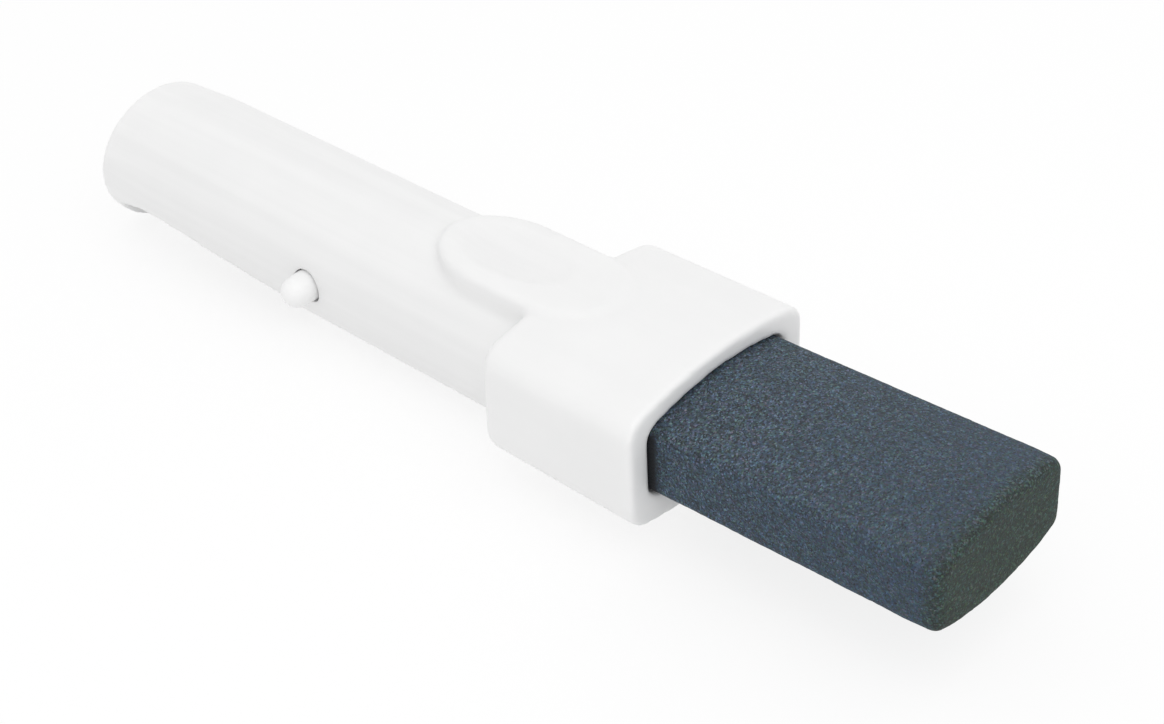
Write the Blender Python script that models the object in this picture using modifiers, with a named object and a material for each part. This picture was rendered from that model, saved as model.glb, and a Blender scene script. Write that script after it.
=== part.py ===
# Pumice stone with handle: an abrasive block glued into the socket of a hollow pole handle.
# X runs along the tool toward the block, Z is up and the thumb rest is on top.
# Z = 0 is the underside of the shank, and X = 0 is the middle of the tool's length.

import bmesh
import bpy
import math
from mathutils import Matrix, Vector

# Shank
SHANK_DIAMETER = 0.0285
SHANK_WALL = 0.0026
SHANK_LENGTH = 0.1397
SHANK_END_DIAMETER = 0.0272
SHANK_LEAD_IN = 0.014
SHANK_DROP = 0.0027
SHANK_END_ROUNDING = 0.001
SHANK_END_SLANT = math.radians(11.5)
BORE_MOUTH_CHAMFER = 0.0003
BORE_END_WALL = 0.003
RUNOUT_START = 0.026
RUNOUT_LENGTH = 0.018
RUNOUT_DIAMETER = 0.018
SHANK_STEPS = 96

# Sloping window under the shank
WINDOW_RIM = 0.0017
WINDOW_LENGTH = 0.0494
WINDOW_REAR_HEIGHT = 0.0075
WINDOW_CREST = 0.0105
WINDOW_CREST_HEIGHT = 0.0113
WINDOW_TURN_SHARE = 0.1
WINDOW_FRONT_HEIGHT = 0.0064
WINDOW_CORNER = 0.0024

# Thumb rest
REST_WIDTH = 0.019
REST_LENGTH = 0.0385
REST_REAR_END = 0.014
REST_FRONT_END = 0.0105
REST_FRONT = 0.0191
REST_HEIGHT = 0.0126
REST_EDGE = 0.0014
REST_ROOT = 0.011
DISH_LENGTH = 0.0245
DISH_WIDTH = 0.0128
DISH_DEPTH = 0.0014
DISH_RISE = 0.0014
DISH_BACK = 0.0425

# Socket
SOCKET_WIDTH = 0.0416
SOCKET_SIDE = 0.0195
SOCKET_CROWN = 0.0027
SOCKET_CORNER = 0.0045
SOCKET_LENGTH = 0.0319
SOCKET_TAPER = 0.0003
SOCKET_SHOULDER_SLANT = math.radians(2)
SOCKET_RIM_EDGE = 0.0015
SOCKET_SHOULDER_EDGE = 0.0025
POCKET_DEPTH = 0.0275

# Abrasive block
BLOCK_WIDTH = 0.0315
BLOCK_SIDE = 0.0116
BLOCK_CROWN = 0.0024
BLOCK_CORNER = 0.0026
BLOCK_EDGE = 0.0024
BLOCK_REACH = 0.0506
BLOCK_LEAN = math.radians(1.9)
BLOCK_LIFT = 0.0005
BLOCK_SIDE_CLEARANCE = 0.0006
BLOCK_TOP_CLEARANCE = 0.0003

# Adhesive bed
BED_THICKNESS = 0.0012
BED_INSET = 0.0015
BED_EDGE = 0.0004
SEAT_GAP = 0.0003

# Spring clip
CLIP_THICKNESS = 0.0016
CLIP_HEIGHT = 0.009
CLIP_BEND_RADIUS = 0.0093
CLIP_LEG_LENGTH = 0.0519
CLIP_REACH = 0.0454
CLIP_BUTTON_BACK = 0.0804
CLIP_WALL_GAP = 0.0003
CLIP_EDGE = 0.0004
BUTTON_DIAMETER = 0.0059
BUTTON_TIP_DIAMETER = 0.0056
BUTTON_SIDE = 0.002
BUTTON_DOME = 0.0028
BUTTON_STEPS = 40
BUTTON_HOLE_CLEARANCE = 0.0004
BUTTON_HOLE_SHIFT = 0.0001

# Cutters run this far past the surface that they open.
OVERRUN = 0.004

SHANK_RADIUS = SHANK_DIAMETER / 2
BORE_RADIUS = SHANK_RADIUS - SHANK_WALL
SHANK_END_RADIUS = SHANK_END_DIAMETER / 2
SHANK_HEEL = (SHANK_END_RADIUS - SHANK_END_ROUNDING) * math.tan(SHANK_END_SLANT)
BLOCK_TIP = BLOCK_REACH * math.cos(BLOCK_LEAN) + BLOCK_SIDE / 2 * math.sin(BLOCK_LEAN)
MOUTH_X = (SHANK_LENGTH + SHANK_HEEL - BLOCK_TIP) / 2
SHANK_Z = SHANK_RADIUS
SOCKET_Z = SHANK_Z + SHANK_DROP
PIVOT_X = MOUTH_X - CLIP_BUTTON_BACK - CLIP_REACH


def clear_scene():
    for obj in list(bpy.data.objects):
        bpy.data.objects.remove(obj)


def new_collection(name):
    collection = bpy.data.collections.new(name)
    bpy.context.scene.collection.children.link(collection)
    return collection


def new_material(name, colour, roughness):
    material = bpy.data.materials.new(name)
    material.use_nodes = True
    shader = material.node_tree.nodes["Principled BSDF"]
    shader.inputs["Base Color"].default_value = (*colour, 1)
    shader.inputs["Roughness"].default_value = roughness
    shader.inputs["Metallic"].default_value = 0
    material.diffuse_color = (*colour, 1)
    return material


def new_object(name, bm, collection):
    bmesh.ops.recalc_face_normals(bm, faces=bm.faces)
    mesh = bpy.data.meshes.new(name)
    bm.to_mesh(mesh)
    bm.free()
    mesh.shade_smooth()
    mesh.set_sharp_from_angle(angle=math.radians(35))
    obj = bpy.data.objects.new(name, mesh)
    collection.objects.link(obj)
    if collection.name == "cutters":
        obj.hide_render = True
        obj.display_type = "WIRE"
    return obj


def round_edges(obj, width, segments):
    bevel = obj.modifiers.new("rounding", "BEVEL")
    bevel.width = width
    bevel.segments = segments
    bevel.limit_method = "ANGLE"
    bevel.angle_limit = math.radians(50)


# Rounds the ring of edges between the given vertices alone.
def round_ring(obj, ring, width, segments):
    group = obj.vertex_groups.new(name="ring")
    group.add([vert.index for vert in ring], 1, "REPLACE")
    bevel = obj.modifiers.new(group.name, "BEVEL")
    bevel.width = width
    bevel.segments = segments
    bevel.limit_method = "VGROUP"
    bevel.vertex_group = group.name


def combine(obj, other, operation):
    boolean = obj.modifiers.new(other.name, "BOOLEAN")
    boolean.operation = operation
    boolean.solver = "EXACT"
    boolean.object = other


def arc(centre, radius, start, end, count):
    points = []
    for i in range(count + 1):
        angle = start + (end - start) * i / count
        points.append((centre[0] + radius * math.cos(angle), centre[1] + radius * math.sin(angle)))
    return points


# A crowned section has straight sides, rounded corners, and a top and bottom that swell by the crown.
# The middle facet of the top and of the bottom lies level, so the piece rests on it.
def crowned_section(width, side, crown, corner):
    half = width / 2
    swell = (half * half + crown * crown) / (2 * crown)
    centre_z = side / 2 + crown - swell
    corner_z = centre_z + math.sqrt((swell - corner) ** 2 - (half - corner) ** 2)
    meet = math.atan2(corner_z - centre_z, half - corner)
    steps = 12
    start = math.pi / 2 - (math.pi / 2 - meet) / (2 * steps + 1)
    top = arc((0, centre_z), swell, start, meet, steps)
    turn = arc((half - corner, corner_z), corner, meet, 0, 6)
    quarter = top + turn[1:]
    lower = [(y, -z) for y, z in reversed(quarter)]
    right = quarter + lower
    left = [(-y, z) for y, z in reversed(right)]
    return right + left


# A flat outline extruded along a direction, with its far end scaled.
def prism(name, outline, along, end_scale, collection):
    bm = bmesh.new()
    face = bm.faces.new([bm.verts.new(point) for point in outline])
    grown = bmesh.ops.extrude_face_region(bm, geom=[face])
    moved = [item for item in grown["geom"] if isinstance(item, bmesh.types.BMVert)]
    bmesh.ops.scale(bm, verts=moved, vec=(end_scale, end_scale, end_scale))
    bmesh.ops.translate(bm, verts=moved, vec=along)
    return new_object(name, bm, collection)


# Extrudes a section from x = 0 back along -X, narrowing its far end by the taper on each side.
def extrude_back(name, section, length, taper, collection):
    outline = [(0, y, z) for y, z in section]
    widest = max(y for y, z in section)
    return prism(name, outline, (-length, 0, 0), 1 - taper / widest, collection)


# Turns a profile of (radius, distance along X) pairs round the X axis, front end first.
# It starts half a step round, so that a facet lies level at the bottom.
def lathe(name, profile, steps, collection):
    mesh = bpy.data.meshes.new(name)
    edges = [(i, i + 1) for i in range(len(profile) - 1)]
    start = math.pi / steps
    turned = [(radius * math.cos(start), radius * math.sin(start), along) for radius, along in profile]
    mesh.from_pydata(turned, edges, [])
    obj = bpy.data.objects.new(name, mesh)
    collection.objects.link(obj)
    screw = obj.modifiers.new("turn", "SCREW")
    screw.steps = steps
    screw.render_steps = steps
    screw.use_merge_vertices = True
    screw.merge_threshold = 0.00001
    screw.use_smooth_shade = True
    obj.rotation_euler = (0, math.pi / 2, 0)
    if collection.name == "cutters":
        obj.hide_render = True
        obj.display_type = "WIRE"
    return obj


# Slants the rear end, whose lower side is the longer. A lathed piece has its own X pointing down.
def slant_end(obj, rear):
    graph = bpy.context.evaluated_depsgraph_get()
    mesh = bpy.data.meshes.new_from_object(obj.evaluated_get(graph))
    obj.modifiers.clear()
    obj.data = mesh
    for vert in mesh.vertices:
        if vert.co.z < rear:
            vert.co.z -= vert.co.x * math.tan(SHANK_END_SLANT)


def add_shank(collection):
    front = -(RUNOUT_START - RUNOUT_LENGTH)
    rear = -SHANK_LENGTH
    profile = [(0, front), (RUNOUT_DIAMETER / 2, front), (SHANK_RADIUS, -RUNOUT_START)]
    profile.append((SHANK_RADIUS, rear + SHANK_LEAD_IN))
    centre = (SHANK_END_RADIUS - SHANK_END_ROUNDING, rear + SHANK_END_ROUNDING)
    profile += arc(centre, SHANK_END_ROUNDING, 0, -math.pi / 2, 6)
    profile.append((0, rear))
    shank = lathe("handle", profile, SHANK_STEPS, collection)
    slant_end(shank, rear + SHANK_LEAD_IN / 2)
    shank.location = (MOUTH_X, 0, SHANK_Z)
    return shank


def add_bore(collection):
    front = -(POCKET_DEPTH + BORE_END_WALL)
    rear = -SHANK_LENGTH
    mouth = BORE_RADIUS + BORE_MOUTH_CHAMFER + OVERRUN
    blend = (BORE_RADIUS - SHANK_WALL, front - SHANK_WALL)
    profile = [(0, front)] + arc(blend, SHANK_WALL, math.pi / 2, 0, 4)
    profile += [(BORE_RADIUS, rear + BORE_MOUTH_CHAMFER), (mouth, rear - OVERRUN), (0, rear - OVERRUN)]
    bore = lathe("bore", profile, SHANK_STEPS, collection)
    slant_end(bore, rear + SHANK_LEAD_IN / 2)
    bore.location = (MOUTH_X, 0, SHANK_Z)
    return bore


def add_socket(collection):
    section = crowned_section(SOCKET_WIDTH, SOCKET_SIDE, SOCKET_CROWN, SOCKET_CORNER)
    socket = extrude_back("socket", section, SOCKET_LENGTH, SOCKET_TAPER, collection)
    middle = -SOCKET_LENGTH / 2
    rim = [vert for vert in socket.data.vertices if vert.co.x > middle]
    round_ring(socket, rim, SOCKET_RIM_EDGE, 4)
    shoulder = [vert for vert in socket.data.vertices if vert.co.x < middle]
    for vert in shoulder:
        vert.co.x += vert.co.z * math.tan(SOCKET_SHOULDER_SLANT)
    round_ring(socket, shoulder, SOCKET_SHOULDER_EDGE, 6)
    socket.location = (MOUTH_X, 0, SOCKET_Z)
    return socket


# The pocket follows the block, so both lean up by the same angle about the socket's mouth.
def add_pocket(collection):
    width = BLOCK_WIDTH + 2 * BLOCK_SIDE_CLEARANCE
    side = BLOCK_SIDE + 2 * BLOCK_TOP_CLEARANCE
    corner = BLOCK_CORNER + BLOCK_TOP_CLEARANCE
    section = crowned_section(width, side, BLOCK_CROWN, corner)
    pocket = extrude_back("pocket", section, POCKET_DEPTH + OVERRUN, 0, collection)
    pocket.rotation_euler = (0, -BLOCK_LEAN, 0)
    pocket.location = at_block(OVERRUN)
    return pocket


# A point on the block's own axis, a distance in front of the socket's mouth.
def at_block(distance):
    along = Vector((math.cos(BLOCK_LEAN), 0, math.sin(BLOCK_LEAN)))
    return Vector((MOUTH_X, 0, SOCKET_Z + BLOCK_LIFT)) + along * distance


# One end of the thumb rest's outline, as half an ellipse.
def half_ellipse(centre_x, reach, half_width, start):
    turn = arc((0, 0), 1, start, start + math.pi, 32)
    return [(centre_x + reach * x, half_width * y, 0) for x, y in turn]


# The thumb rest is a pad with elliptical ends that stands out of the shank and the socket.
def add_rest(collection):
    half = REST_WIDTH / 2
    straight = REST_LENGTH - REST_REAR_END - REST_FRONT_END
    outline = half_ellipse(straight, REST_FRONT_END, half, -math.pi / 2)
    outline += half_ellipse(0, REST_REAR_END, half, math.pi / 2)
    rest = prism("thumb_rest", outline, (0, 0, REST_ROOT), 1, collection)
    round_edges(rest, REST_EDGE, 5)
    rear = MOUTH_X - REST_FRONT - REST_LENGTH + REST_REAR_END
    rest.location = (rear, 0, SOCKET_Z + REST_HEIGHT - REST_ROOT)
    return rest


# The dish is the low part of an ellipsoid whose middle lies above the thumb rest.
def add_dish(collection):
    reach = DISH_DEPTH + DISH_RISE
    spread = math.sqrt(1 - (DISH_RISE / reach) ** 2)
    size = (DISH_LENGTH / 2 / spread, DISH_WIDTH / 2 / spread, reach)
    bm = bmesh.new()
    bmesh.ops.create_uvsphere(bm, u_segments=64, v_segments=48, radius=1, matrix=Matrix.Diagonal((*size, 1)))
    dish = new_object("dish", bm, collection)
    dish.location = (MOUTH_X - DISH_BACK, 0, SOCKET_Z + REST_HEIGHT + DISH_RISE)
    return dish


# The window's roof climbs from the rim at the rear, turns over the crest and slopes down to the front.
def window_roof():
    rear = Vector((0, WINDOW_REAR_HEIGHT))
    crest = Vector((WINDOW_CREST, WINDOW_CREST_HEIGHT))
    front = Vector((WINDOW_LENGTH, WINDOW_FRONT_HEIGHT))
    meet = crest.lerp(front, WINDOW_TURN_SHARE)
    steps = 10
    points = []
    for i in range(steps + 1):
        share = i / steps
        points.append(rear.lerp(crest, share).lerp(crest.lerp(meet, share), share))
    return points + [front]


def add_window(collection):
    floor = [(WINDOW_LENGTH, -SHANK_RADIUS), (0, -SHANK_RADIUS)]
    outline = [(x, -SHANK_DIAMETER, z) for x, z in window_roof() + floor]
    window = prism("window", outline, (0, 2 * SHANK_DIAMETER, 0), 1, collection)
    round_edges(window, WINDOW_CORNER, 8)
    window.location = (MOUTH_X - SHANK_LENGTH + WINDOW_RIM, 0, 0)
    return window


def add_button_hole(collection):
    radius = BUTTON_DIAMETER / 2 + BUTTON_HOLE_CLEARANCE
    across = Matrix.Rotation(math.pi / 2, 4, "X")
    depth = SHANK_DIAMETER + 2 * OVERRUN
    bm = bmesh.new()
    size = {"radius1": radius, "radius2": radius, "depth": depth}
    bmesh.ops.create_cone(bm, cap_ends=True, segments=BUTTON_STEPS, matrix=across, **size)
    hole = new_object("button_hole", bm, collection)
    hole.location = (MOUTH_X - CLIP_BUTTON_BACK + BUTTON_HOLE_SHIFT, 0, SHANK_Z)
    return hole


def add_handle(parts, cutters):
    handle = add_shank(parts)
    combine(handle, add_socket(cutters), "UNION")
    combine(handle, add_rest(cutters), "UNION")
    combine(handle, add_dish(cutters), "DIFFERENCE")
    combine(handle, add_bore(cutters), "DIFFERENCE")
    combine(handle, add_pocket(cutters), "DIFFERENCE")
    combine(handle, add_window(cutters), "DIFFERENCE")
    combine(handle, add_button_hole(cutters), "DIFFERENCE")
    return handle


def add_block(collection):
    section = crowned_section(BLOCK_WIDTH, BLOCK_SIDE, BLOCK_CROWN, BLOCK_CORNER)
    held = POCKET_DEPTH - BED_THICKNESS - 2 * SEAT_GAP
    block = extrude_back("abrasive_block", section, BLOCK_REACH + held, 0, collection)
    round_edges(block, BLOCK_EDGE, 4)
    block.rotation_euler = (0, -BLOCK_LEAN, 0)
    block.location = at_block(BLOCK_REACH)
    return block


def add_bed(collection):
    width = BLOCK_WIDTH - 2 * BED_INSET
    side = BLOCK_SIDE - 2 * BED_INSET
    section = crowned_section(width, side, BLOCK_CROWN, BLOCK_CORNER)
    bed = extrude_back("adhesive_bed", section, BED_THICKNESS, 0, collection)
    round_edges(bed, BED_EDGE, 2)
    bed.rotation_euler = (0, -BLOCK_LEAN, 0)
    bed.location = at_block(SEAT_GAP + BED_THICKNESS - POCKET_DEPTH)
    return bed


def add_clip_bend(collection):
    bm = bmesh.new()
    low = bm.verts.new((0, CLIP_BEND_RADIUS, -CLIP_HEIGHT / 2))
    high = bm.verts.new((0, CLIP_BEND_RADIUS, CLIP_HEIGHT / 2))
    edge = bm.edges.new((low, high))
    bmesh.ops.spin(bm, geom=[low, high, edge], cent=(0, 0, 0), axis=(0, 0, 1), angle=math.pi, steps=20)
    bend = new_object("spring_clip_bend", bm, collection)
    shell = bend.modifiers.new("thickness", "SOLIDIFY")
    shell.thickness = CLIP_THICKNESS
    shell.offset = 0
    round_edges(bend, CLIP_EDGE, 2)
    bend.location = (PIVOT_X, 0, SHANK_Z)
    return bend


# A leg spreads from its root beside the bend until its free end rests on the wall of the bore.
def leg_angle():
    spread = BORE_RADIUS - CLIP_WALL_GAP
    level = math.sqrt(spread**2 - (CLIP_HEIGHT / 2) ** 2) - CLIP_THICKNESS / 2
    return math.atan2(level - CLIP_BEND_RADIUS, CLIP_LEG_LENGTH)


def add_button(name, collection):
    tip = SHANK_RADIUS + BUTTON_SIDE - CLIP_BEND_RADIUS
    radius = BUTTON_TIP_DIAMETER / 2
    dome = (radius**2 + BUTTON_DOME**2) / (2 * BUTTON_DOME)
    top = tip + BUTTON_DOME
    rise = math.atan2(radius, dome - BUTTON_DOME)
    crown = arc((0, top - dome), dome, math.pi / 2, math.pi / 2 - rise, 10)
    profile = [(0, top)] + crown[1:-1] + [(radius, tip)]
    root = CLIP_REACH * math.tan(leg_angle())
    profile += [(BUTTON_DIAMETER / 2, root), (0, root)]
    return lathe(name, profile, BUTTON_STEPS, collection)


def add_clip_leg(name, side, parts, cutters):
    angle = leg_angle()
    length = CLIP_LEG_LENGTH - SEAT_GAP
    size = Matrix.Diagonal((length, CLIP_THICKNESS, CLIP_HEIGHT, 1))
    shift = Matrix.Translation((SEAT_GAP + length / 2, 0, 0))
    lean = Matrix.Rotation(side * angle, 4, "Z")
    bm = bmesh.new()
    bmesh.ops.create_cube(bm, size=1, matrix=lean @ shift @ size)
    leg = new_object(name, bm, parts)
    round_edges(leg, CLIP_EDGE, 2)
    leg.location = (PIVOT_X, side * CLIP_BEND_RADIUS, SHANK_Z)
    button = add_button(name + "_button", cutters)
    button.rotation_euler = (-side * math.pi / 2, 0, 0)
    button.location = (PIVOT_X + CLIP_REACH, side * CLIP_BEND_RADIUS, SHANK_Z)
    combine(leg, button, "UNION")
    return leg


def white_gloss_plastic():
    return new_material("white_gloss_plastic", (0.86, 0.87, 0.87), 0.28)


def grey_abrasive():
    return new_material("grey_abrasive", (0.075, 0.09, 0.11), 0.92)


def set_adhesive():
    return new_material("set_adhesive", (0.62, 0.52, 0.34), 0.4)


def white_acetal():
    return new_material("white_acetal", (0.9, 0.9, 0.88), 0.35)


# Bakes the modifiers, so that smooth shading ends at every sharp edge of the finished solid.
def settle(obj):
    graph = bpy.context.evaluated_depsgraph_get()
    mesh = bpy.data.meshes.new_from_object(obj.evaluated_get(graph))
    obj.modifiers.clear()
    obj.data = mesh
    mesh.name = obj.name
    mesh.shade_smooth()
    mesh.set_sharp_from_angle(angle=math.radians(35))


def main():
    clear_scene()
    parts = new_collection("pumice_stone_with_handle")
    cutters = new_collection("cutters")
    handle = add_handle(parts, cutters)
    handle.data.materials.append(white_gloss_plastic())
    block = add_block(parts)
    block.data.materials.append(grey_abrasive())
    bed = add_bed(parts)
    bed.data.materials.append(set_adhesive())
    acetal = white_acetal()
    bend = add_clip_bend(parts)
    bend.data.materials.append(acetal)
    left = add_clip_leg("spring_clip_leg_left", 1, parts, cutters)
    left.data.materials.append(acetal)
    right = add_clip_leg("spring_clip_leg_right", -1, parts, cutters)
    right.data.materials.append(acetal)
    for obj in list(parts.objects):
        settle(obj)
    for obj in list(cutters.objects):
        bpy.data.objects.remove(obj)
    bpy.data.collections.remove(cutters)


main()
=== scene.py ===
# %% [markdown]
# # A scouring stone on a pole handle
# The tool is a dark block of bonded grit, glued into the flat socket of a hollow white handle.
# The handle's round shank slides into a pole, where two sprung buttons snap into the pole's holes.
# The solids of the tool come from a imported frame.
# This lesson dresses them, and sets up the view and the light.

# %% Load the frame
import math

import bpy
import numpy as np
from mathutils import Matrix, Vector
from mathutils.kdtree import KDTree


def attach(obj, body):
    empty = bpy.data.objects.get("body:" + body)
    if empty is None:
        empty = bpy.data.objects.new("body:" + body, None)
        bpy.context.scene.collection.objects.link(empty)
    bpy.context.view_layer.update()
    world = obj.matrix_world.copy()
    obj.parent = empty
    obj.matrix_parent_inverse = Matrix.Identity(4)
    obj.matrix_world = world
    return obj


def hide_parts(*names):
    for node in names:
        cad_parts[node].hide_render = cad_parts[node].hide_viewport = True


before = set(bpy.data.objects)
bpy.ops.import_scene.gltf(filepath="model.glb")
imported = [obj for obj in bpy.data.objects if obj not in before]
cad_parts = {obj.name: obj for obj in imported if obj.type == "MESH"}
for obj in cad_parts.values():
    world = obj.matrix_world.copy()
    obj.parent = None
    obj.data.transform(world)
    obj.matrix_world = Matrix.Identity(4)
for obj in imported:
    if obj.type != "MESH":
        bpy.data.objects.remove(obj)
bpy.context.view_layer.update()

# %% [markdown]
# ## The camera
# The tool is seen from in front and above, turned so that the stone points to the lower right.
# Three turns say all of it: round the vertical, down from the horizon, and a small roll of the camera.
# A long lens keeps the shank's sides nearly parallel.

# %% Camera
CAMERA_PLACE = (0.200483, -0.188365, 0.210279)
CAMERA_TURN = math.radians(44.2732)
CAMERA_DIP = math.radians(36.7545)
CAMERA_ROLL = math.radians(-3.2717)
LENS = 62.5543


def add_camera():
    data = bpy.data.cameras.new("camera")
    data.lens = LENS
    data.sensor_fit = "HORIZONTAL"
    data.sensor_width = 36
    data.clip_start = 0.01
    data.clip_end = 50
    camera = bpy.data.objects.new("camera", data)
    bpy.context.scene.collection.objects.link(camera)
    turn = Matrix.Rotation(CAMERA_TURN, 4, "Z")
    dip = Matrix.Rotation(math.pi / 2 - CAMERA_DIP, 4, "X")
    roll = Matrix.Rotation(CAMERA_ROLL, 4, "Z")
    camera.matrix_world = Matrix.Translation(CAMERA_PLACE) @ turn @ dip @ roll
    bpy.context.scene.camera = camera
    return camera


camera = add_camera()
bpy.context.scene.view_settings.view_transform = "Standard"
print("camera", [round(v, 3) for v in camera.matrix_world.translation])

# %% [markdown]
# ## Helpers for finishes
# Every finish is a set of nodes round one shader. These helpers add a node, join two sockets,
# and give noise at a scale in lumps per metre, read from the object's own coordinates.
# A colour is often built up by multiplying: PLAIN is the factor that changes nothing.

# %% Node helpers
PLAIN = (1.0, 1.0, 1.0)


class Finish:
    def __init__(self, name):
        self.material = bpy.data.materials.new(name)
        self.material.use_nodes = True
        self.tree = self.material.node_tree
        self.shader = self.tree.nodes["Principled BSDF"]
        self.place = self.add("ShaderNodeTexCoord").outputs["Object"]

    def add(self, kind, **values):
        node = self.tree.nodes.new(kind)
        for name, value in values.items():
            setattr(node, name, value)
        return node

    def join(self, source, target):
        self.tree.links.new(source, target)

    def noise(self, scale, detail=3.0, stretch=(1, 1, 1)):
        mapping = self.add("ShaderNodeMapping")
        mapping.inputs["Scale"].default_value = stretch
        self.join(self.place, mapping.inputs["Vector"])
        node = self.add("ShaderNodeTexNoise")
        node.inputs["Scale"].default_value = scale
        node.inputs["Detail"].default_value = detail
        self.join(mapping.outputs["Vector"], node.inputs["Vector"])
        return node

    def cells(self, scale):
        node = self.add("ShaderNodeTexVoronoi")
        node.inputs["Scale"].default_value = scale
        self.join(self.place, node.inputs["Vector"])
        return node

    def axes(self, vector):
        node = self.add("ShaderNodeSeparateXYZ")
        self.join(vector, node.inputs["Vector"])
        return node.outputs

    def channels(self, colour):
        node = self.add("ShaderNodeSeparateColor")
        self.join(colour, node.inputs["Color"])
        return node.outputs

    def ramp(self, source, stops):
        node = self.add("ShaderNodeValToRGB")
        ramp = node.color_ramp
        while len(ramp.elements) < len(stops):
            ramp.elements.new(0.5)
        for element, (position, colour) in zip(ramp.elements, stops):
            element.position = position
            element.color = (*colour, 1)
        self.join(source, node.inputs["Fac"])
        return node.outputs["Color"]

    def spread(self, source, low, high, start=0.0, end=1.0):
        node = self.add("ShaderNodeMapRange")
        node.inputs["From Min"].default_value = start
        node.inputs["From Max"].default_value = end
        node.inputs["To Min"].default_value = low
        node.inputs["To Max"].default_value = high
        self.join(source, node.inputs["Value"])
        return node.outputs["Result"]

    def mix(self, share, first, second, blend="MIX"):
        node = self.add("ShaderNodeMix", data_type="RGBA", blend_type=blend)
        factor, below, above = node.inputs[0], node.inputs[6], node.inputs[7]
        for value, socket in ((share, factor), (first, below), (second, above)):
            if isinstance(value, bpy.types.NodeSocket):
                self.join(value, socket)
            elif isinstance(value, tuple):
                socket.default_value = (*value, 1)
            else:
                socket.default_value = value
        return node.outputs[2]

    def bump(self, source, height, under=None):
        node = self.add("ShaderNodeBump")
        node.inputs["Strength"].default_value = 1
        node.inputs["Distance"].default_value = height
        self.join(source, node.inputs["Height"])
        if under is not None:
            self.join(under, node.inputs["Normal"])
        return node.outputs["Normal"]

    def let_light_in(self, share, depth):
        self.shader.inputs["Subsurface Weight"].default_value = share
        self.shader.inputs["Subsurface Scale"].default_value = depth
        self.shader.inputs["Subsurface Radius"].default_value = (1, 1, 1)


print("helpers ready")

# %% [markdown]
# ## White moulded plastic
# The handle is a smooth, slightly glossy moulding. The mould leaves a very fine skin on it:
# faint clouding in the colour, a roughness that varies a little, and shallow flow lines
# along the shank, which nearly vanish on the socket. Their streaks in the colour are partly
# painted reflection: faint darker bands that stand in for reflections along the shank.
# A little light enters the plastic and softens its shading.

# %% White plastic
CLOUD_SCALE = 60
FLOW_SCALE = 330
FLOW_STRETCH = (0.025, 1, 1)
FLOW_HEIGHT = 0.000004
SKIN_SCALE = 2600
SKIN_HEIGHT = 0.000002
SOCKET_START = 0.012
SOCKET_BLEND = 0.008
SOCKET_CALM = 0.8
LIGHT_SHARE = 0.4
LIGHT_DEPTH = 0.0018


def white_plastic():
    finish = Finish("white_moulded_plastic")
    clouds = finish.noise(CLOUD_SCALE, 4).outputs["Fac"]
    flow = finish.noise(FLOW_SCALE, 3, FLOW_STRETCH).outputs["Fac"]
    skin = finish.noise(SKIN_SCALE, 2).outputs["Fac"]
    pale = finish.ramp(clouds, [(0.3, (0.880, 0.880, 0.880)), (0.7, (0.900, 0.900, 0.899))])
    # Partly painted reflection: darker lengthwise bands, partly flow lines, partly reflections along the
    # shank.
    streak_and_reflection = finish.ramp(flow, [(0.35, (0.970, 0.970, 0.970)), (0.62, PLAIN)])
    along = finish.axes(finish.place)["X"]
    socket = finish.spread(along, 0.0, SOCKET_CALM, SOCKET_START - SOCKET_BLEND, SOCKET_START)
    streak_and_reflection = finish.mix(socket, streak_and_reflection, PLAIN)
    finish.join(finish.mix(1.0, pale, streak_and_reflection, "MULTIPLY"), finish.shader.inputs["Base Color"])
    finish.join(finish.spread(clouds, 0.30, 0.38, 0.3, 0.7), finish.shader.inputs["Roughness"])
    skin_bump = finish.bump(skin, SKIN_HEIGHT)
    finish.join(finish.bump(flow, FLOW_HEIGHT, skin_bump), finish.shader.inputs["Normal"])
    finish.shader.inputs["IOR"].default_value = 1.5
    finish.let_light_in(LIGHT_SHARE, LIGHT_DEPTH)
    return finish.material


WHITE_PLASTIC = white_plastic()
print("finish", WHITE_PLASTIC.name)

# %% [markdown]
# ## White acetal
# The clip is moulded from a slippery plastic of its own, a little whiter and brighter than the handle.

# %% White acetal
HAZE_SCALE = 420
ACETAL_SKIN_SCALE = 3000
ACETAL_SKIN_HEIGHT = 0.000004


def white_acetal():
    finish = Finish("white_acetal")
    haze = finish.noise(HAZE_SCALE, 3).outputs["Fac"]
    skin = finish.noise(ACETAL_SKIN_SCALE, 2).outputs["Fac"]
    finish.join(
        finish.ramp(haze, [(0.3, (0.895, 0.895, 0.893)), (0.7, (0.915, 0.915, 0.915))]),
        finish.shader.inputs["Base Color"],
    )
    finish.join(finish.spread(haze, 0.28, 0.4, 0.3, 0.7), finish.shader.inputs["Roughness"])
    finish.join(finish.bump(skin, ACETAL_SKIN_HEIGHT), finish.shader.inputs["Normal"])
    finish.shader.inputs["IOR"].default_value = 1.48
    finish.let_light_in(LIGHT_SHARE, LIGHT_DEPTH)
    return finish.material


WHITE_ACETAL = white_acetal()
print("finish", WHITE_ACETAL.name)

# %% [markdown]
# ## Set adhesive
# The adhesive behind the stone is hidden in use.
# It is amber, a little cloudy, and full of small bubbles.

# %% Set adhesive
AMBER_SCALE = 500
BUBBLE_SCALE = 1100
BUBBLE_HEIGHT = 0.00005


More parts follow.
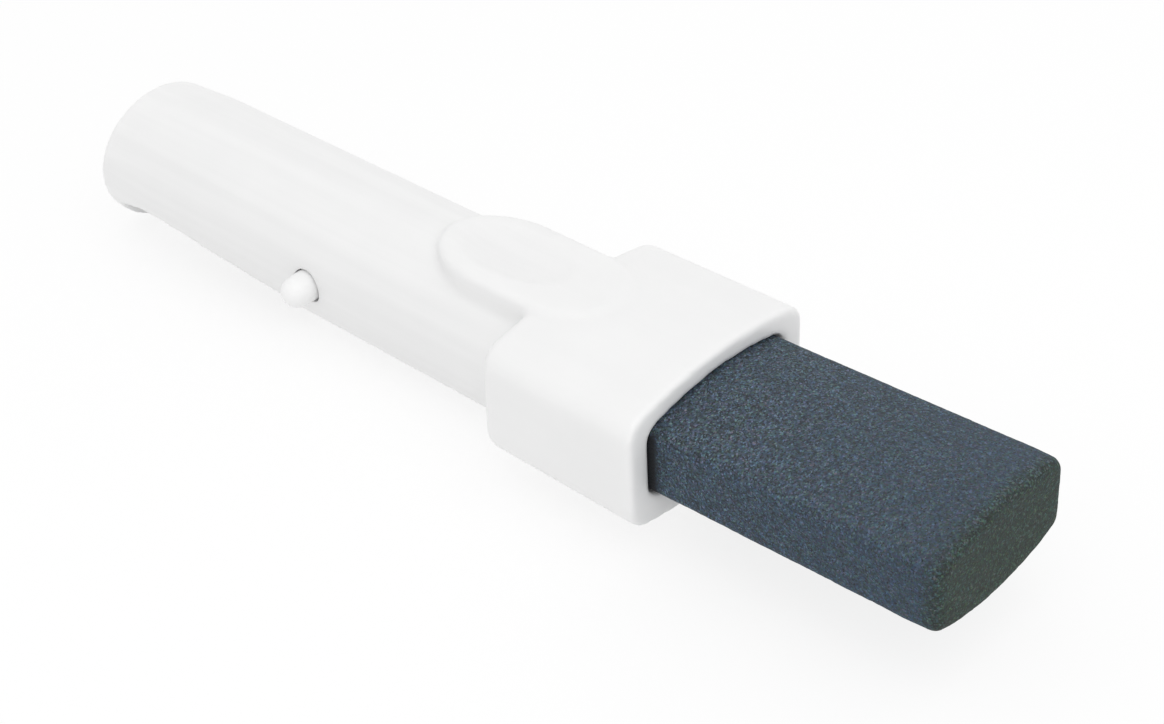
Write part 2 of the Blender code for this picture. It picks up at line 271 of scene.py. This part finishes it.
def set_adhesive():
    finish = Finish("set_adhesive")
    cloud = finish.noise(AMBER_SCALE, 4).outputs["Fac"]
    bubbles = finish.cells(BUBBLE_SCALE).outputs["Distance"]
    finish.join(
        finish.ramp(cloud, [(0.3, (0.50, 0.39, 0.22)), (0.7, (0.70, 0.60, 0.42))]),
        finish.shader.inputs["Base Color"],
    )
    finish.join(finish.spread(cloud, 0.3, 0.5, 0.3, 0.7), finish.shader.inputs["Roughness"])
    finish.join(finish.bump(bubbles, BUBBLE_HEIGHT), finish.shader.inputs["Normal"])
    return finish.material


SET_ADHESIVE = set_adhesive()
print("finish", SET_ADHESIVE.name)

# %% [markdown]
# ## Bonded grit
# The stone is pressed from fine grains of several colours. Seen close, slate blue grains lie beside
# teal, olive and violet ones, each only a fifth of a millimetre across, with pores between them,
# which are painted near black as painted shade in their hollows.
# The sides are painted darker than the top, as painted shade where less light falls. Towards the front the
# stone turns a little darker, and the front end is painted darker and olive: partly its own olive cast,
# partly painted shade on the end face.
# Beside the socket's mouth, the sides are painted nearly black: a painted shadow of the gap between the
# stone and the socket.
# All these follow the stone's own coordinates, so they stay put when it moves.

# %% Bonded grit
GRAIN_SCALE = 3900
PATCH_SCALE = 1300
PORE_SCALE = 3200
GRAIN_BUMP = 0.00005
PORE_BUMP = 0.00010
PORE_SHADE = (0.018, 0.021, 0.026)
TOP_FACING = (0.25, 0.9)
PAINTED_SIDE_SHADE = (0.83, 0.89, 0.94)
END_CAST_AND_SHADE = (0.62, 0.65, 0.37)
FORE_START = 0.055
FORE_CAST = (0.90, 0.92, 0.95)
FORE_CALM = 0.48
MOUTH_START = 0.0459
MOUTH_STOP = 0.0470
PAINTED_GAP_SHADOW = (0.014, 0.016, 0.020)
END_START = 0.0928
END_STOP = 0.0965


def bonded_grit():
    finish = Finish("bonded_grit")
    grain = finish.channels(finish.cells(GRAIN_SCALE).outputs["Color"])
    patch = finish.channels(finish.noise(PATCH_SCALE, 2).outputs["Color"])
    pores = finish.noise(PORE_SCALE, 3).outputs["Fac"]
    body = finish.ramp(
        grain["Red"],
        [
            (0.0, (0.051, 0.075, 0.122)),
            (0.3, (0.058, 0.081, 0.110)),
            (0.5, (0.046, 0.087, 0.103)),
            (0.7, (0.058, 0.088, 0.078)),
            (0.85, (0.061, 0.071, 0.119)),
            (1.0, (0.078, 0.075, 0.094)),
        ],
    )
    # Each grain gets its own brightness; the brightest grains, far above the rest, are partly their own
    # tone and partly painted glints.
    grain_tone_and_glint = finish.ramp(
        grain["Green"],
        [(0.0, (0.22, 0.22, 0.22)), (0.8, (1.36, 1.36, 1.36)), (1.0, (2.5, 2.5, 2.5))],
    )
    along = finish.axes(finish.place)["X"]
    fore = finish.spread(along, 0.0, 1.0, FORE_START, END_START)
    end = finish.spread(along, 0.0, 1.0, END_START, END_STOP)
    calm = finish.mix(end, finish.mix(fore, (0, 0, 0), (FORE_CALM,) * 3), (0, 0, 0))
    speckled = finish.mix(1.0, body, finish.mix(calm, grain_tone_and_glint, PLAIN), "MULTIPLY")
    cool = finish.ramp(patch["Green"], [(0.38, (0.93, 0.99, 1.06)), (0.62, (1.05, 1.0, 0.95))])
    cloudy = finish.ramp(patch["Red"], [(0.35, (0.84, 0.84, 0.84)), (0.65, (1.18, 1.18, 1.18))])
    patched = finish.mix(1.0, finish.mix(1.0, speckled, cool, "MULTIPLY"), cloudy, "MULTIPLY")
    upward = finish.axes(finish.add("ShaderNodeTexCoord").outputs["Normal"])["Z"]
    top = finish.spread(upward, 0.0, 1.0, *TOP_FACING)
    # Painted shade: the sides are darker than the top, because less light falls on them.
    side_shaded = finish.mix(1.0, patched, finish.mix(top, PAINTED_SIDE_SHADE, PLAIN), "MULTIPLY")
    # The front end is painted darker and olive: partly its own cast, partly painted shade on the end face.
    front = finish.mix(end, finish.mix(fore, PLAIN, FORE_CAST), END_CAST_AND_SHADE)
    cast_and_shade = finish.mix(1.0, side_shaded, front, "MULTIPLY")
    # Painted shadow: near the mouth the sides are painted nearly black, where the gap beside the socket
    # lies in shade.
    gap_shadow = finish.add("ShaderNodeMath", operation="MULTIPLY")
    finish.join(finish.spread(along, 1.0, 0.0, MOUTH_START, MOUTH_STOP), gap_shadow.inputs[0])
    finish.join(finish.spread(upward, 1.0, 0.0, *TOP_FACING), gap_shadow.inputs[1])
    cast_and_shade = finish.mix(gap_shadow.outputs[0], cast_and_shade, PAINTED_GAP_SHADOW)
    # Painted shade: the pores are painted near black, as the shade in their small hollows.
    pore_shade = finish.spread(pores, 1.0, 0.0, 0.33, 0.40)
    finish.join(finish.mix(pore_shade, cast_and_shade, PORE_SHADE), finish.shader.inputs["Base Color"])
    finish.join(finish.spread(grain["Green"], 0.7, 0.95), finish.shader.inputs["Roughness"])
    grain_bump = finish.bump(grain["Green"], GRAIN_BUMP)
    finish.join(finish.bump(pores, PORE_BUMP, grain_bump), finish.shader.inputs["Normal"])
    finish.shader.inputs["IOR"].default_value = 1.45
    return finish.material


GRIT = bonded_grit()
print("finish", GRIT.name)

# %% [markdown]
# ## Working on one piece at a time
# Most of Blender's operators act on all that is selected. The frame's solids arrive selected,
# so each piece starts by deselecting everything and making itself the active object.

# %% Selecting and shaping


def work_on(piece):
    if bpy.context.object is not None and bpy.context.object.mode != "OBJECT":
        bpy.ops.object.mode_set(mode="OBJECT")
    bpy.ops.object.select_all(action="DESELECT")
    piece.select_set(True)
    bpy.context.view_layer.objects.active = piece


def edit(piece):
    work_on(piece)
    bpy.ops.object.mode_set(mode="EDIT")
    bpy.ops.mesh.select_mode(type="VERT")
    bpy.ops.mesh.select_all(action="DESELECT")


def leave_edit():
    bpy.ops.object.mode_set(mode="OBJECT")


def pick(piece, kind, wanted):
    bpy.ops.object.mode_set(mode="OBJECT")
    mesh = piece.data
    for group in (mesh.vertices, mesh.edges, mesh.polygons):
        group.foreach_set("select", [False] * len(group))
    for item in getattr(mesh, kind):
        item.select = wanted(item)
    bpy.ops.object.mode_set(mode="EDIT")


def shape_with(piece, name, kind, **values):
    modifier = piece.modifiers.new(name, kind)
    for key, value in values.items():
        setattr(modifier, key, value)
    work_on(piece)
    bpy.ops.object.modifier_apply(modifier=name)


def triangles(piece):
    return sum(len(face.vertices) - 2 for face in piece.data.polygons)


print("nodes to dress:", sorted(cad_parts))

# %% [markdown]
# ## The handle
# The real handle is one moulding: a tube, a flat socket and a thumb rest that run into each other.
# The frame's solid has these shapes, but it meets in hard seams, and a mould has a soft fillet in each.
# It could be modelled again from a tube and a box. A copy of the solid is the surer way here, because
# it already fits the stone and the two buttons. The copy's loose triangles are merged.
# The socket's front rim is too round for the real one, so it is cut off flat
# and pulled out again with a crisp edge.
# Then a voxel remesh lays an even net of small squares over it all, fine enough to be smoothed.

# %% Copy the handle and lay an even net over it
MERGE = 0.000001
HANDLE_NET = 0.00055
MOUTH_X = 0.0457495
SHANK_RADIUS = 0.01425
SHANK_AXIS_Z = 0.01425
SHANK_WALL = 0.0026
SHANK_FACETS = 96
HOLE_X = MOUTH_X - 0.0803
HOLE_RADIUS = 0.00322
HOLE_FACETS = 64
PLUG_LENGTH = 0.0084
PLUG_INSET = 0.00003
RIM_CUT = 0.0016
RIM_BACK = 0.0002
ALMOST_FLAT = 0.99


def copy_of(node, name):
    piece = bpy.data.objects.new(name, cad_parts[node].data.copy())
    bpy.context.scene.collection.objects.link(piece)
    edit(piece)
    bpy.ops.mesh.select_all(action="SELECT")
    bpy.ops.mesh.remove_doubles(threshold=MERGE)
    leave_edit()
    bpy.ops.mesh.customdata_custom_splitnormals_clear()
    return piece


def renew_rim(piece):
    cut = MOUTH_X - RIM_CUT
    edit(piece)
    bpy.ops.mesh.select_all(action="SELECT")
    bpy.ops.mesh.bisect(plane_co=(cut, 0, 0), plane_no=(1, 0, 0), use_fill=True, clear_outer=True)

    def faces_forward(face):
        return abs(face.center.x - cut) < MERGE and abs(face.normal.x) > ALMOST_FLAT

    pick(piece, "polygons", faces_forward)
    bpy.ops.mesh.select_mode(type="FACE")
    bpy.ops.mesh.extrude_region_move(TRANSFORM_OT_translate={"value": (RIM_CUT - RIM_BACK, 0, 0)})
    leave_edit()


def add_cylinder(name, radius, depth, place, turn, **values):
    bpy.ops.object.select_all(action="DESELECT")
    bpy.ops.mesh.primitive_cylinder_add(radius=radius, depth=depth, location=place, rotation=turn, **values)
    piece = bpy.context.object
    piece.name = name
    bpy.ops.object.transform_apply(location=True, rotation=True, scale=True)
    return piece


def plug_button_holes(piece):
    place = (HOLE_X, 0, SHANK_AXIS_Z)
    turn = (0, math.pi / 2, 0)
    radius = SHANK_RADIUS - PLUG_INSET
    ring = add_cylinder(
        "plug", radius, PLUG_LENGTH, place, turn, vertices=SHANK_FACETS, end_fill_type="NOTHING"
    )
    shape_with(ring, "wall", "SOLIDIFY", thickness=SHANK_WALL - 2 * PLUG_INSET, offset=-1)
    work_on(piece)
    ring.select_set(True)
    bpy.ops.object.join()


handle = copy_of("handle", "handle_moulding")
renew_rim(handle)
plug_button_holes(handle)
shape_with(handle, "net", "REMESH", mode="VOXEL", voxel_size=HANDLE_NET, use_smooth_shade=True)
print("handle net", triangles(handle), "triangles")

# %% [markdown]
# ### Soft seams
# A seam is found by its hollow shape: there, a point's neighbours lie above its own tangent plane.
# Every point near a seam on the outside gets a weight that fades with distance,
# and a Smooth modifier held to that weight pulls the net across the seam like a fillet.
# A few light rounds over the whole net then take out the last of the remesh's grain.

# %% Find the seams and fill them
SEAM_HOLLOW = 0.10
SEAM_REACH = 0.0011
SEAM_ROUNDS = 8
SKIN_ROUNDS = 4
SHANK_SKIN = 0.0004
SEAMS_START = -0.02
RIM_KEPT = 0.001
POCKET_HALF = (0.0175, 0.0095)
POCKET_RISE = 0.003
POCKET_DEPTH = 0.029


def hollows(mesh):
    count = len(mesh.vertices)
    places = np.empty(count * 3, np.float32)
    mesh.vertices.foreach_get("co", places)
    places = places.reshape(-1, 3)
    normals = np.empty(count * 3, np.float32)
    mesh.vertex_normals.foreach_get("vector", normals)
    normals = normals.reshape(-1, 3)
    ends = np.empty(len(mesh.edges) * 2, np.int32)
    mesh.edges.foreach_get("vertices", ends)
    first, second = ends.reshape(-1, 2).T
    along = places[second] - places[first]
    along /= np.linalg.norm(along, axis=1)[:, None]
    lift = np.zeros(count)
    np.add.at(lift, first, (along * normals[first]).sum(1))
    np.add.at(lift, second, (-along * normals[second]).sum(1))
    links = np.bincount(ends, minlength=count)
    return places, lift / links


def outside(places):
    x, y, z = places.T
    far = np.hypot(y, z - SHANK_AXIS_Z) > SHANK_RADIUS - SHANK_SKIN
    inner_y, inner_z = POCKET_HALF
    across = np.abs(y) < inner_y
    upright = np.abs(z - SHANK_AXIS_Z - POCKET_RISE) < inner_z
    in_pocket = across & upright & (x > MOUTH_X - POCKET_DEPTH)
    return far & ~in_pocket & (x < MOUTH_X - RIM_KEPT) & (x > SEAMS_START)


def fill_seams(piece):
    places, hollow = hollows(piece.data)
    seam = np.flatnonzero((hollow > SEAM_HOLLOW) & outside(places))
    tree = KDTree(len(seam))
    for index in seam:
        tree.insert(places[index], int(index))
    tree.balance()
    group = piece.vertex_groups.new(name="seams")
    near = 0
    for index, place in enumerate(places):
        distance = tree.find(place)[2]
        if distance < SEAM_REACH:
            group.add([index], 1 - (distance / SEAM_REACH) ** 2, "REPLACE")
            near += 1
    shape_with(piece, "fillet", "SMOOTH", vertex_group="seams", factor=0.5, iterations=SEAM_ROUNDS)
    print("seam points", len(seam), "and near them", near)


fill_seams(handle)
shape_with(handle, "skin", "SMOOTH", factor=0.5, iterations=SKIN_ROUNDS)
handle.vertex_groups.clear()

# %% [markdown]
# ### Two button holes
# The net would round the rims of the button holes away, so the holes were plugged before it was laid.
# Now one long cylinder drills both at once, and their rims stay crisp. It is a little thinner than
# the holes of the solid, because the real gap round a button is narrow.

# %% Drill the button holes
SMOOTH_UP_TO = math.radians(50)


def drill_button_holes(piece):
    place = (HOLE_X, 0, SHANK_AXIS_Z)
    turn = (math.pi / 2, 0, 0)
    drill = add_cylinder("drill", HOLE_RADIUS, 3 * SHANK_RADIUS, place, turn, vertices=HOLE_FACETS)
    shape_with(piece, "holes", "BOOLEAN", operation="DIFFERENCE", solver="EXACT", object=drill)
    bpy.data.objects.remove(drill)
    work_on(piece)
    bpy.ops.object.shade_smooth_by_angle(angle=SMOOTH_UP_TO)


drill_button_holes(handle)
handle.data.materials.clear()
handle.data.materials.append(WHITE_PLASTIC)
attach(handle, "handle")
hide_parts("handle")
print("handle", triangles(handle), "triangles")

# %% [markdown]
# ## The stone
# The real stone is pressed from grit in a mould and fired, so its faces are flat along their length,
# a little crowned across, and its edges are soft. It starts as a block at its real size.
# The block is cut across into strips, and the middle line is lifted with proportional editing:
# the inverse square falloff makes the crown, because it drops from the middle
# with the square of the distance.

# %% Block out the stone
STONE_WIDTH = 0.0315
STONE_SIDE = 0.0116
STONE_CROWN = 0.0024
STONE_LENGTH = 0.0763
STONE_REACH = 0.0506
STONE_LEAN = math.radians(1.9)
STONE_STRIPS = 9
STONE_EDGE = 0.0014
EDGE_STEPS = 4
SHARP_FROM = math.radians(50)
SOFTEN_ROUNDS = 3
CORNER_REACH = 0.0048
CORNER_ROUNDS = 34
STONE_NET = 0.00042
STONE_PIVOT = Vector((MOUTH_X, 0, 0.01745))


def block_out_stone():
    place = STONE_PIVOT + Vector((STONE_REACH - STONE_LENGTH / 2, 0, 0))
    bpy.ops.object.select_all(action="DESELECT")
    size = (STONE_LENGTH, STONE_WIDTH, STONE_SIDE)
    bpy.ops.mesh.primitive_cube_add(size=1, location=place, scale=size)
    stone = bpy.context.object
    stone.name = "scouring_stone"
    bpy.ops.object.transform_apply(location=True, rotation=True, scale=True)
    edit(stone)
    corners = stone.data.vertices

    def runs_across(edge):
        first, second = edge.vertices
        return abs(corners[first].co.y - corners[second].co.y) > MERGE

    pick(stone, "edges", runs_across)
    bpy.ops.mesh.subdivide(number_cuts=STONE_STRIPS)
    return stone


def crown(stone, side):
    middle_z = STONE_PIVOT.z
    edit(stone)
    pick(stone, "vertices", lambda vert: (vert.co.z - middle_z) * side < 0)
    bpy.ops.mesh.hide()
    leave_edit()
    for vert in stone.data.vertices:
        vert.select = not vert.hide and abs(vert.co.y) < MERGE
    bpy.ops.object.mode_set(mode="EDIT")
    bpy.ops.transform.translate(
        value=(0, 0, side * STONE_CROWN),
        use_proportional_edit=True,
        proportional_edit_falloff="INVERSE_SQUARE",
        proportional_size=STONE_WIDTH / 2,
    )
    bpy.ops.mesh.reveal(select=False)
    leave_edit()


stone = block_out_stone()
crown(stone, 1)
crown(stone, -1)
print("stone", [round(v * 1000, 2) for v in stone.dimensions], "mm")

# %% [markdown]
# ### Edges and corners
# The block's sharp edges are bevelled, and the block gets an even net as the handle did.
# The four upright corners are worn rounder than the edges: every point near one gets a weight,
# and a Smooth modifier held to that weight rounds the corner off.

# %% Round the edges and the corners


def bevel_sharp(piece, width, rounds):
    edit(piece)
    bpy.ops.mesh.select_mode(type="EDGE")
    bpy.ops.mesh.edges_select_sharp(sharpness=SHARP_FROM)
    bpy.ops.mesh.bevel(offset=width, segments=rounds, affect="EDGES")
    leave_edit()


def wear_corners(piece):
    group = piece.vertex_groups.new(name="corners")
    front = STONE_PIVOT.x + STONE_REACH
    for vert in piece.data.vertices:
        along = min(front - vert.co.x, vert.co.x - front + STONE_LENGTH)
        across = STONE_WIDTH / 2 - abs(vert.co.y)
        distance = math.hypot(along, across)
        if distance < CORNER_REACH:
            group.add([vert.index], 1 - (distance / CORNER_REACH) ** 2, "REPLACE")
    shape_with(
        piece, "corners", "SMOOTH", vertex_group="corners", factor=0.5, iterations=CORNER_ROUNDS
    )
    piece.vertex_groups.clear()


bevel_sharp(stone, STONE_EDGE, EDGE_STEPS)
shape_with(stone, "net", "REMESH", mode="VOXEL", voxel_size=STONE_NET, use_smooth_shade=True)
shape_with(stone, "soften", "SMOOTH", factor=0.5, iterations=SOFTEN_ROUNDS)
wear_corners(stone)
print("stone net", triangles(stone), "triangles")

# %% [markdown]
# ### A surface that can be felt
# A pressed stone isn't smooth: its faces wave a little, and single grains stand out of them.
# Two Displace modifiers push the net along its normals, one with large weak clouds
# and one with small clouds of about a grain's size.
# Colour alone would leave the outline straight as a ruler.

# %% Rough the faces
WAVE_SIZE = 0.006
WAVE_HEIGHT = 0.00012
GRAIN_SIZE = 0.0009
GRAIN_HEIGHT = 0.00010


def clouds(name, size, depth):
    texture = bpy.data.textures.new(name, "CLOUDS")
    texture.noise_scale = size
    texture.noise_depth = depth
    return texture


def roughen(piece):
    shape_with(piece, "waves", "DISPLACE", texture=clouds("waves", WAVE_SIZE, 1), strength=WAVE_HEIGHT)
    shape_with(piece, "grains", "DISPLACE", texture=clouds("grains", GRAIN_SIZE, 2), strength=GRAIN_HEIGHT)


roughen(stone)
print("stone now", [round(v * 1000, 2) for v in stone.dimensions], "mm")

# %% [markdown]
# ### Chipped edges
# Grains break out along the long edges first. Each chip is one point of the net pulled inwards,
# with its neighbours following by proportional editing, so it leaves a small dent with a sharp middle.
# The places come from a seeded random generator, and are the same on every run.

# %% Chip the edges
CHIPS = 8
CHIP_SIZE = (0.0006, 0.0012)
CHIP_DEPTH = (0.00006, 0.00012)
CHIP_MARGINS = (0.008, 0.004)
CHIP_SEED = 11


def chip(piece, tree, place, size, depth):
    nearest, index, _ = tree.find(place)
    inward = (STONE_PIVOT + Vector((nearest.x - MOUTH_X, 0, 0)) - nearest).normalized() * depth
    piece.data.vertices[index].select = True
    bpy.ops.object.mode_set(mode="EDIT")
    bpy.ops.transform.translate(
        value=inward,
        use_proportional_edit=True,
        proportional_edit_falloff="SHARP",
        proportional_size=size,
    )
    bpy.ops.mesh.select_all(action="DESELECT")
    bpy.ops.object.mode_set(mode="OBJECT")


def chip_edges(piece):
    random = np.random.default_rng(CHIP_SEED)
    tree = KDTree(len(piece.data.vertices))
    for vert in piece.data.vertices:
        tree.insert(vert.co, vert.index)
    tree.balance()
    edit(piece)
    leave_edit()
    behind, before = CHIP_MARGINS
    for count in range(CHIPS):
        along = random.uniform(behind, STONE_REACH - before)
        side = -1 if count % 4 else 1
        height = STONE_SIDE / 2 if count % 3 else -STONE_SIDE / 2
        place = STONE_PIVOT + Vector((along, side * STONE_WIDTH / 2, height))
        chip(piece, tree, place, random.uniform(*CHIP_SIZE), random.uniform(*CHIP_DEPTH))


chip_edges(stone)
print("stone with", CHIPS, "chips")

# %% [markdown]
# ### Lean
# The finished stone is tipped up round the socket's mouth, because the real one leans up a little.
# This comes last, because a net laid over a tipped face would show steps along its edges.

# %% Tip the stone and dress it
edit(stone)
bpy.ops.mesh.select_all(action="SELECT")
bpy.ops.transform.rotate(
    value=STONE_LEAN, orient_axis="Y", orient_type="GLOBAL", center_override=STONE_PIVOT
)
leave_edit()
stone.data.materials.clear()
stone.data.materials.append(GRIT)
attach(stone, "handle")
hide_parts("abrasive_block")
print("stone top at the front", round(max(v.co.z for v in stone.data.vertices) * 1000, 2), "mm")

# %% [markdown]
# ## The clip and the adhesive
# The spring clip and the bed of adhesive keep the frame's own solids, because their shapes are right.
# The clip is one white moulding of a slippery plastic, and the adhesive has set to a dull amber.

# %% Dress the clip and the adhesive
for name in ("spring_clip_bend", "spring_clip_leg_left", "spring_clip_leg_right"):
    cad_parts[name].data.materials[0] = WHITE_ACETAL
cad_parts["adhesive_bed"].data.materials[0] = SET_ADHESIVE
print("dressed the clip in", WHITE_ACETAL.name)

# %% [markdown]
# ## The floor
# The tool lies on a pale floor that runs out of sight.
# To the camera most of it glows evenly, so that it meets the white background,
# and the rest is lit as usual and takes the tool's soft shadow.
# For the light that the floor throws back at the tool it is plain and matt.

# %% Floor
FLOOR_SIZE = 8
FLOOR_GAP = 0.0002
FLOOR_MATT = (0.94, 0.94, 0.94, 1)
FLOOR_SEEN = (1, 1, 1, 1)
SHADOW_SHARE = 0.18


def seen_directly(nodes, links):
    path = nodes.new("ShaderNodeLightPath")
    first = nodes.new("ShaderNodeMath")
    first.operation = "MAXIMUM"
    second = nodes.new("ShaderNodeMath")
    second.operation = "MAXIMUM"
    links.new(path.outputs["Is Camera Ray"], first.inputs[0])
    links.new(path.outputs["Is Transmission Ray"], first.inputs[1])
    links.new(first.outputs[0], second.inputs[0])
    links.new(path.outputs["Is Glossy Ray"], second.inputs[1])
    return second.outputs[0]


def add_floor():
    bpy.ops.mesh.primitive_plane_add(size=FLOOR_SIZE, location=(0, 0, -FLOOR_GAP))
    floor = bpy.context.object
    floor.name = "floor"
    material = bpy.data.materials.new("pale_floor")
    material.use_nodes = True
    tree = material.node_tree
    tree.nodes.clear()
    output = tree.nodes.new("ShaderNodeOutputMaterial")
    matt = tree.nodes.new("ShaderNodeBsdfDiffuse")
    matt.inputs["Color"].default_value = FLOOR_MATT
    bright = tree.nodes.new("ShaderNodeBsdfDiffuse")
    bright.inputs["Color"].default_value = FLOOR_SEEN
    glow = tree.nodes.new("ShaderNodeEmission")
    lit = tree.nodes.new("ShaderNodeMixShader")
    lit.inputs[0].default_value = 1 - SHADOW_SHARE
    tree.links.new(bright.outputs[0], lit.inputs[1])
    tree.links.new(glow.outputs[0], lit.inputs[2])
    chosen = tree.nodes.new("ShaderNodeMixShader")
    tree.links.new(seen_directly(tree.nodes, tree.links), chosen.inputs[0])
    tree.links.new(matt.outputs[0], chosen.inputs[1])
    tree.links.new(lit.outputs[0], chosen.inputs[2])
    tree.links.new(chosen.outputs[0], output.inputs["Surface"])
    floor.data.materials.append(material)
    return floor


floor = add_floor()
print("floor at", round(floor.location.z, 5))

# %% [markdown]
# ## The light
# The world lights the tool evenly from all sides. A large key lamp above adds soft shading,
# and a larger, farther one low in front keeps the near side from going grey.
# The camera, mirrors and glass see the world as plain white.

# %% World and lamps
WORLD_LEVEL = 0.80
KEY_SIZE = 0.7
KEY_DISTANCE = 0.75
KEY_POWER = 1.5
KEY_FROM = (0.35, -0.16, 0.90)
FILL_SIZE = 1.0
FILL_DISTANCE = 1.5
FILL_POWER = 1.1
FILL_FROM = (0.45, -0.85, 0.06)


def add_world():
    world = bpy.data.worlds.new("studio")
    bpy.context.scene.world = world
    world.use_nodes = True
    tree = world.node_tree
    background = tree.nodes["Background"]
    level = tree.nodes.new("ShaderNodeMapRange")
    level.inputs["To Min"].default_value = WORLD_LEVEL
    level.inputs["To Max"].default_value = 1
    tree.links.new(seen_directly(tree.nodes, tree.links), level.inputs["Value"])
    tree.links.new(level.outputs["Result"], background.inputs["Strength"])
    background.inputs["Color"].default_value = (1, 1, 1, 1)


def add_lamp(name, direction, size, distance, power):
    data = bpy.data.lights.new(name, "AREA")
    data.shape = "SQUARE"
    data.size = size
    data.energy = power
    lamp = bpy.data.objects.new(name, data)
    bpy.context.scene.collection.objects.link(lamp)
    towards = Vector(direction).normalized()
    lamp.location = towards * distance
    lamp.rotation_euler = towards.to_track_quat("Z", "Y").to_euler()
    return lamp


add_world()
key = add_lamp("soft_key", KEY_FROM, KEY_SIZE, KEY_DISTANCE, KEY_POWER)
fill = add_lamp("soft_fill", FILL_FROM, FILL_SIZE, FILL_DISTANCE, FILL_POWER)
print("key lamp at", [round(v, 2) for v in key.location])
print("fill lamp at", [round(v, 2) for v in fill.location])
